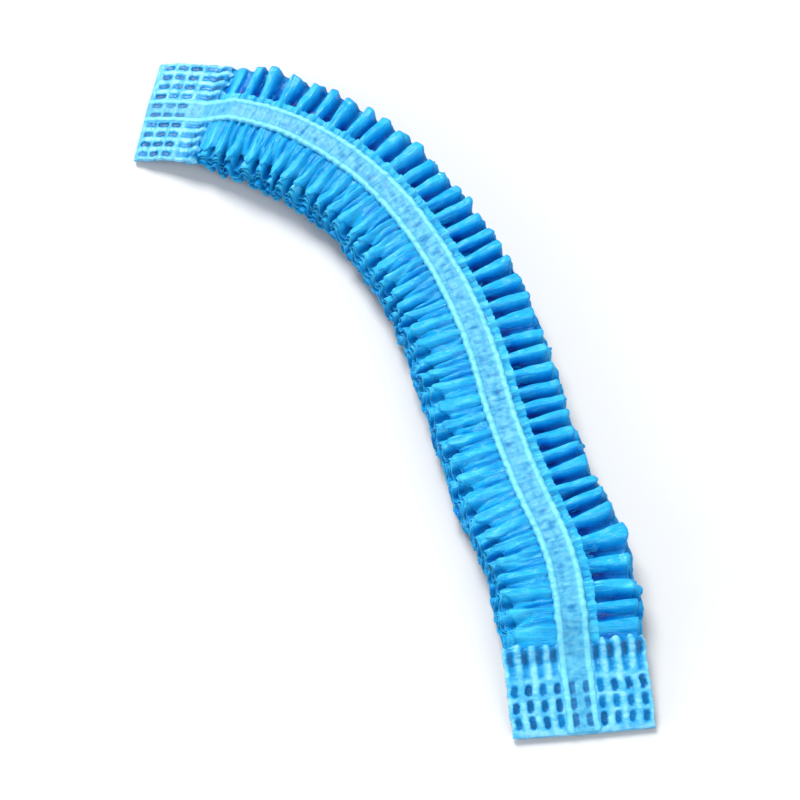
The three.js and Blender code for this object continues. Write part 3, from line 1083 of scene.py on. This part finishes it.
# %% The two welded ends
WELD_ROWS = np.concatenate([[0.0, 0.08], np.arange(0.3, WELD_LENGTH + 0.51, 0.22)])
WELD_ACROSS = np.linspace(-WELD_HALF_WIDTH, WELD_HALF_WIDTH, 133)
SLANT_OF_CUT = {True: 0.03, False: -0.035}  # at the first end, and at the last one
MOUTH_ZONE = (WELD_LENGTH - 2, WELD_LENGTH + 0.5)
SCALLOP = 0.7  # how far the mouth's edge goes in and out
MOUTH_DRAWN_BACK = 0.3
UNDERSIDE_ROWS = 40  # the rows of the noise table between the upper face and the lower one
FIRST_WELD_ROW = 21.0
LAST_WELD_ROW = 64.0
rough_edge = uneven(0.012, 0.9, 5)
fine_rough_edge = uneven(0.008, 3, 8)


def welded_end(name, first, row):
    """A closed surface round a welded end: the upper face, and then the lower face on the way back."""
    way_round = -1 if first else 1
    distance, face = np.meshgrid(WELD_ROWS, WELD_ACROSS, indexing="ij")
    distance = distance + (SCALLOP * rib(face) - MOUTH_DRAWN_BACK) * smooth(distance, *MOUTH_ZONE)
    inward = distance + SLANT_OF_CUT[first] * face * (1 - smooth(distance, 0, WELD_LENGTH))
    along = inward if first else LENGTH - inward
    above = weld_half(distance, face, along, row)
    below = weld_half(distance, face, along, row + UNDERSIDE_ROWS)
    ragged = 1 + rough_edge(distance, more_rows=row) + fine_rough_edge(distance, more_rows=row)

    def both(upper, lower):
        return np.hstack([upper, lower[:, ::-1]])[:, ::way_round]

    along_both = both(along, along)
    across = both(face * ragged, face * ragged)
    height = middle_height(along_both) + both(above, -below)
    ribs = np.maximum(rib(face), cross_rib(distance))
    pits_and_grooves = pit(distance, face), groove(distance, face)
    marks = np.stack([both(mark, mark) for mark in (*pits_and_grooves, ribs)], axis=-1)
    places = np.stack([along_both, across, height], axis=-1)
    return grid_mesh(name, on_strip(along_both, across, height), places, marks, around=True)


first_weld = welded_end("first_weld", True, FIRST_WELD_ROW)
last_weld = welded_end("last_weld", False, LAST_WELD_ROW)

# %% [markdown]
# ## The tapes
# With the relief and the seat known, a tape is a closed ring of points again: many across its face, where
# the welts are round, and few across its back, which nobody sees. It runs from one cut edge to the other,
# and is pressed into the pads with them, pits and all.

# %% The points across a tape
WELT_PLACES = np.linspace(1.9, 3.3, 9)
CHANNEL_PLACES = np.linspace(-1.65, 1.65, 11)
TAPE_FACE = np.concatenate([[-BAND_HALF], -WELT_PLACES[::-1], CHANNEL_PLACES, WELT_PLACES, [BAND_HALF]])
TAPE_BACK = np.linspace(BAND_HALF, -BAND_HALF, 5)
print(len(TAPE_FACE), "points across the face, and", len(TAPE_BACK), "across the back")

# %% The two tapes
TAPE_STEP = 0.26
TAPE_START = 0.08
EDGE_GATHER = 0.02  # the share by which a tape is wider and narrower with the pleats
EDGE_GATHER_LAG = 1
PRESSED_RELIEF = 0.5  # the share of the relief that the jaw has pressed out
TAPE_PIT_DEPTH = 0.26
CORNER = 0.36  # how far the edges of a tape turn down
CORNER_ZONE = (3.1, 3.4)
PRESSED_CORNER = 0.4
BACK_DEPTH = 0.38  # from the bottom of the channel to the back
PRESSED_BACK_DEPTH = 0.3
LATTICE_DARKNESS = 0.35
edge_noise = uneven(0.035, 2, 17)


def elastic_band(name, way):
    """way is 1 for the band on top and -1 for the one underneath."""
    stations = np.arange(TAPE_START, LENGTH - TAPE_START, TAPE_STEP)
    along, face = np.meshgrid(stations, TAPE_FACE, indexing="ij")
    behind, back = np.meshgrid(stations, TAPE_BACK, indexing="ij")
    pleat = (along - FILM_START) / PITCH
    in_weld = 1 - smooth(throat(from_end(along)), 0, 1)
    gathered = EDGE_GATHER * np.cos(GATHERS * 2 * math.pi * pleat + EDGE_GATHER_LAG)
    edge = 1 + gathered + edge_noise(pleat, more_rows=way)
    pits = pit(from_end(along), face) * in_weld
    relief = tape_relief(along, face) * (1 - PRESSED_RELIEF * in_weld) - TAPE_PIT_DEPTH * pits
    corner = np.clip((np.abs(face) - CORNER_ZONE[0]) / (CORNER_ZONE[1] - CORNER_ZONE[0]), 0, 1)
    high = tape_channel(along) + relief - CORNER * corner**2 * (1 - PRESSED_CORNER * in_weld)
    low = tape_channel(behind) - BACK_DEPTH - PRESSED_BACK_DEPTH * in_weld[:, : len(TAPE_BACK)]
    across = np.hstack([face * edge, back * edge[:, : len(TAPE_BACK)]]) * way
    along_both = np.hstack([along, behind])
    height = middle_height(along_both) + way * np.hstack([high, low])
    spots = (weld_spot(pleat, face) - LATTICE_DARKNESS * lattice(along, face)) * (1 - in_weld)
    marks = np.stack([np.hstack([mark, 0 * back]) for mark in (welt(face), spots, pits)], axis=-1)
    places = np.stack([along_both, across, height], axis=-1)
    return grid_mesh(name, on_strip(along_both, across, height), places, marks, around=True)


upper_band = elastic_band("upper_elastic", 1)
lower_band = elastic_band("lower_elastic", -1)

# %% [markdown]
# ## Building a finish from nodes
# Each finish is a small tree of nodes. A painted picture would need an even flat map and would blur close
# up, while noise nodes stay sharp at any distance. They read the place on the strip that each mesh keeps,
# so their grain follows the pleats round the bends. A few short helpers make and join the nodes.

# %% Places and marks
def add_node(tree, kind, **settings):
    node = tree.nodes.new(kind)
    for name, value in settings.items():
        setattr(node, name, value)
    return node


def strip_vector(tree, stretch):
    """The place on the strip, in millimetres, scaled so that a noise is stretched across it."""
    place = add_node(tree, "ShaderNodeAttribute", attribute_name="strip_place")
    scaled = add_node(tree, "ShaderNodeVectorMath", operation="MULTIPLY")
    tree.links.new(place.outputs["Vector"], scaled.inputs[0])
    scaled.inputs[1].default_value = stretch
    return scaled.outputs["Vector"]


def mark(tree, channel):
    """One of the three marks that a mesh keeps."""
    marks = add_node(tree, "ShaderNodeAttribute", attribute_name="marks")
    parts = add_node(tree, "ShaderNodeSeparateXYZ")
    tree.links.new(marks.outputs["Vector"], parts.inputs["Vector"])
    return parts.outputs[channel]


kept_places = [name for name in upper_film.data.attributes.keys() if not name.startswith(".")]
print("the film's mesh keeps:", kept_places)

# %% Weighted sums
def scale_and_add(tree, source, factor, offset):
    """A value times a factor, plus an offset, which is a number or another value."""
    node = add_node(tree, "ShaderNodeMath", operation="MULTIPLY_ADD")
    tree.links.new(source, node.inputs[0])
    node.inputs[1].default_value = factor
    if hasattr(offset, "links"):
        tree.links.new(offset, node.inputs[2])
    else:
        node.inputs[2].default_value = offset
    return node.outputs["Value"]


def weighted(tree, *parts):
    """The sum of some values, each times its own weight."""
    total = 0.0
    for source, weight in parts:
        total = scale_and_add(tree, source, weight, total)
    return total


print("sums are made with:", scale_and_add.__name__, "and", weighted.__name__)

# %% Noise, ridges and bumps
NOISE_MIDDLE = 0.5
RIDGE_SHARPNESS = -4.0
RIDGE_ROUGHNESS = 0.55


def strip_noise(tree, stretch, detail=2.0, roughness=0.5):
    """Soft noise. stretch gives its bumps for each millimetre along, across and through the layers."""
    noise = add_node(tree, "ShaderNodeTexNoise")
    noise.inputs["Scale"].default_value = 1.0
    noise.inputs["Detail"].default_value = detail
    noise.inputs["Roughness"].default_value = roughness
    tree.links.new(strip_vector(tree, stretch), noise.inputs["Vector"])
    return noise.outputs["Fac"]


def ridges(tree, stretch, detail=2.0):
    """Noise turned into sharp ridges: 1 on a ridge, and less the further from it."""
    off = add_node(tree, "ShaderNodeMath", operation="SUBTRACT")
    tree.links.new(strip_noise(tree, stretch, detail, RIDGE_ROUGHNESS), off.inputs[0])
    off.inputs[1].default_value = NOISE_MIDDLE
    size = add_node(tree, "ShaderNodeMath", operation="ABSOLUTE")
    tree.links.new(off.outputs["Value"], size.inputs[0])
    return scale_and_add(tree, size.outputs["Value"], RIDGE_SHARPNESS, 1.0)


def bump(tree, height, distance, strength, below=None):
    """A relief of some millimetres, laid over the one below it."""
    node = add_node(tree, "ShaderNodeBump")
    node.inputs["Distance"].default_value = distance * MM
    node.inputs["Strength"].default_value = strength
    tree.links.new(height, node.inputs["Height"])
    if below is not None:
        tree.links.new(below, node.inputs["Normal"])
    return node.outputs["Normal"]


print("a ridge falls off", -RIDGE_SHARPNESS, "times as steeply as its noise")

# %% Tints and light that comes through
def tinted(tree, shader, source, stops):
    """Colours the shader by a value, from a table of places and colours."""
    ramp = add_node(tree, "ShaderNodeValToRGB")
    while len(ramp.color_ramp.elements) < len(stops):
        ramp.color_ramp.elements.new(0.5)  # its place is set below
    for element, (place, colour) in zip(ramp.color_ramp.elements, stops):
        element.position = place
        element.color = (*colour, 1)
    tree.links.new(source, ramp.inputs["Fac"])
    tree.links.new(ramp.outputs["Color"], shader.inputs["Base Color"])
    return ramp.outputs["Color"]


def see_through(tree, shader, colour, share, normal):
    """Mixes light that comes through the material into a shader."""
    tree.links.new(normal, shader.inputs["Normal"])
    through = add_node(tree, "ShaderNodeBsdfTranslucent")
    tree.links.new(colour, through.inputs["Color"])
    tree.links.new(normal, through.inputs["Normal"])
    mix = add_node(tree, "ShaderNodeMixShader")
    mix.inputs["Fac"].default_value = share
    tree.links.new(shader.outputs["BSDF"], mix.inputs[1])
    tree.links.new(through.outputs["BSDF"], mix.inputs[2])
    tree.links.new(mix.outputs["Shader"], tree.nodes["Material Output"].inputs["Surface"])


print("a finish is made with:", [helper.__name__ for helper in (strip_noise, ridges, bump, tinted)])

# %% [markdown]
# ## The film's finish
# The film is clear blue polyethylene, thinner than a hair. Light goes through one layer and is blue after
# it, so a thin lit crest looks cyan and a deep gap looks navy. Glass-like transparency would show every
# layer below and take long to render. A translucent shader mixed into a semi-gloss one is enough, and the
# navy of the gaps is painted shade, from the mark of painted shade that the mesh keeps. The surface is
# crinkled all over: soft dents of a millimetre, gathers that run across the strip, and finer creases on top.

# %% Blue film
# from cyan to navy: the film's blue, and the painted shade read from the mesh's mark
FILM_TINTS_AND_SHADE = [
    (0.15, (0.16, 0.73, 0.965)),
    (0.24, (0.045, 0.63, 0.94)),
    (0.38, (0.01, 0.47, 0.89)),
    (0.58, (0.001, 0.295, 0.81)),
    (0.82, (0.0, 0.145, 0.60)),
    (0.93, (0.0, 0.075, 0.43)),
]
FILM_CLOUDS = {"stretch": (0.45, 0.12, 1.7), "detail": 4.0, "roughness": 0.65}
SHADE_WEIGHT, CLOUD_WEIGHT = 0.6, 0.5
FILM_DENTS = (0.45, 0.3, 3.1)
FILM_DENTS_BUMP = (0.9, 0.5)  # millimetres, and the bump's strength
FILM_GATHERS = (1.0, 0.09, 2.3)
FILM_GATHERS_BUMP = (0.35, 0.6)
FILM_CREASES = (2.4, 0.45, 5.3)
FILM_CREASES_BUMP = (0.12, 0.5)
GLOSS_STRETCH = (0.6, 0.2, 1.1)
GLOSS_RANGE = {"From Min": 0.35, "From Max": 0.65, "To Min": 0.11, "To Max": 0.34}
FILM_SHEEN = 0.3
FILM_LETS_THROUGH = 0.36
film_material, tree, shader = node_material("blue_film")
shade_and_clouds = weighted(tree, (mark(tree, "X"), SHADE_WEIGHT), (strip_noise(tree, **FILM_CLOUDS), CLOUD_WEIGHT))
film_tint_and_shade = tinted(tree, shader, shade_and_clouds, FILM_TINTS_AND_SHADE)
film_relief = bump(tree, strip_noise(tree, FILM_DENTS), *FILM_DENTS_BUMP)
film_relief = bump(tree, ridges(tree, FILM_GATHERS), *FILM_GATHERS_BUMP, below=film_relief)
film_relief = bump(tree, ridges(tree, FILM_CREASES), *FILM_CREASES_BUMP, below=film_relief)
gloss = add_node(tree, "ShaderNodeMapRange")
tree.links.new(strip_noise(tree, GLOSS_STRETCH), gloss.inputs["Value"])
for socket, value in GLOSS_RANGE.items():
    gloss.inputs[socket].default_value = value
tree.links.new(gloss.outputs["Result"], shader.inputs["Roughness"])
shader.inputs["Specular IOR Level"].default_value = FILM_SHEEN
see_through(tree, shader, film_tint_and_shade, FILM_LETS_THROUGH, film_relief)
print(film_material.name, "has", len(tree.nodes), "nodes")

# %% [markdown]
# ## The tape's finish
# The tape is a pale blue non-woven ribbon, duller than the film. Its welts are the palest, and its channel
# is patchy and darker at the weld spots, because the film shows through there. A plain colour with a bump
# would look like plastic, so the marks of the mesh and a cloudy noise share in the tint.

# %% Pale elastic tape
TAPE_TINTS = [
    (0.0, (0.0, 0.14, 0.38)),
    (0.26, (0.01, 0.26, 0.55)),
    (0.42, (0.045, 0.38, 0.655)),
    (0.6, (0.095, 0.485, 0.735)),
    (0.8, (0.12, 0.57, 0.82)),
    (1.0, (0.185, 0.68, 0.89)),
]
TAPE_PATCHES = {"stretch": (0.9, 0.6, 1.0), "detail": 3.0, "roughness": 0.6}
TAPE_THREADS = {"stretch": (2.2, 0.6, 1.0), "detail": 3.0, "roughness": 0.6}
TAPE_THREADS_BUMP = (0.3, 0.6)
PATCH_WEIGHT = 1.0
WELT_WEIGHT, SPOT_WEIGHT, TAPE_PIT_WEIGHT = 0.5, -0.3, -0.5
TAPE_ROUGHNESS = 0.45
TAPE_LETS_THROUGH = 0.2
tape_material, tree, shader = node_material("pale_elastic")
paleness = weighted(
    tree,
    (strip_noise(tree, **TAPE_PATCHES), PATCH_WEIGHT),
    (mark(tree, "X"), WELT_WEIGHT),
    (mark(tree, "Y"), SPOT_WEIGHT),
    (mark(tree, "Z"), TAPE_PIT_WEIGHT),
)
tape_tint = tinted(tree, shader, paleness, TAPE_TINTS)
thread_relief = bump(tree, strip_noise(tree, **TAPE_THREADS), *TAPE_THREADS_BUMP)
shader.inputs["Roughness"].default_value = TAPE_ROUGHNESS
see_through(tree, shader, tape_tint, TAPE_LETS_THROUGH, thread_relief)
print(tape_material.name, "has", len(tree.nodes), "nodes")

# %% [markdown]
# ## The weld's finish
# Pressed together, the many layers turn paler than loose film, except in the pits, where they have melted
# into one clear dark pane. The edge of the pad shows the layers as thin lines. The grooves of the throat are
# darkened with painted shade, and the raised ribs get a little painted highlight. One finish can serve for
# the whole end, because the marks of its mesh say where the pits, grooves and ribs are.

# %% Welded film
WELD_TINTS_AND_SHADE = [
    (0.17, (0.25, 0.69, 0.92)),
    (0.29, (0.10, 0.51, 0.84)),
    (0.45, (0.03, 0.37, 0.76)),
    (0.68, (0.0, 0.23, 0.56)),
    (0.95, (0.0, 0.11, 0.31)),
]
WELD_CLOUDS = {"stretch": (0.5, 0.35, 0.6), "detail": 3.0}
PRESSED_PLEATS = {"stretch": (0.8, 0.13, 0.4), "detail": 3.0}
PRESSED_PLEATS_BUMP = (0.14, 0.6)
STACKED_EDGES = (0.1, 0.1, 5.5)
STACKED_EDGES_BUMP = (0.35, 0.5)
WELD_GRAIN = (2.6, 1.2, 5.0)
WELD_GRAIN_BUMP = (0.07, 0.5)
WELD_CLOUD_WEIGHT, PRESSED_WEIGHT, STACKED_WEIGHT = 0.7, -0.07, 0.16
# the pits are darker; the grooves get painted shade and the ribs a painted highlight
PIT_WEIGHT, GROOVE_SHADE_WEIGHT, RIB_HIGHLIGHT_WEIGHT = 0.7, 0.6, -0.15
WELD_ROUGHNESS = 0.2
WELD_SHEEN = 0.28
WELD_LETS_THROUGH = 0.2
weld_material, tree, shader = node_material("welded_film")
pressed_pleats = ridges(tree, **PRESSED_PLEATS)
stacked_edges = strip_noise(tree, STACKED_EDGES)
weld_tone_and_shade = weighted(
    tree,
    (strip_noise(tree, **WELD_CLOUDS), WELD_CLOUD_WEIGHT),
    (mark(tree, "X"), PIT_WEIGHT),
    (mark(tree, "Y"), GROOVE_SHADE_WEIGHT),
    (mark(tree, "Z"), RIB_HIGHLIGHT_WEIGHT),
    (pressed_pleats, PRESSED_WEIGHT),
    (stacked_edges, STACKED_WEIGHT),
)
weld_tint_and_shade = tinted(tree, shader, weld_tone_and_shade, WELD_TINTS_AND_SHADE)
weld_relief = bump(tree, stacked_edges, *STACKED_EDGES_BUMP)
weld_relief = bump(tree, pressed_pleats, *PRESSED_PLEATS_BUMP, below=weld_relief)
weld_relief = bump(tree, ridges(tree, WELD_GRAIN), *WELD_GRAIN_BUMP, below=weld_relief)
shader.inputs["Roughness"].default_value = WELD_ROUGHNESS
shader.inputs["Specular IOR Level"].default_value = WELD_SHEEN
see_through(tree, shader, weld_tint_and_shade, WELD_LETS_THROUGH, weld_relief)
print(weld_material.name, "has", len(tree.nodes), "nodes")

# %% [markdown]
# ## Fitting the pieces to the frame
# Each piece rides on the strip's one body and gets its finish, and the plain solid that it stands for is
# hidden.

# %% Each piece takes its solid's place
for piece, node, slot, material in (
    (upper_film, "pleated_film", "film", film_material),
    (lower_film, "pleated_film", "film", film_material),
    (upper_band, "upper_elastic_band", "elastic", tape_material),
    (lower_band, "lower_elastic_band", "elastic", tape_material),
    (first_weld, "first_welded_end", "weld", weld_material),
    (last_weld, "last_welded_end", "weld", weld_material),
):
    piece.data.materials.append(material)
    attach(piece, "root")
    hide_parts(node)
    print(piece.name, "stands for", node)
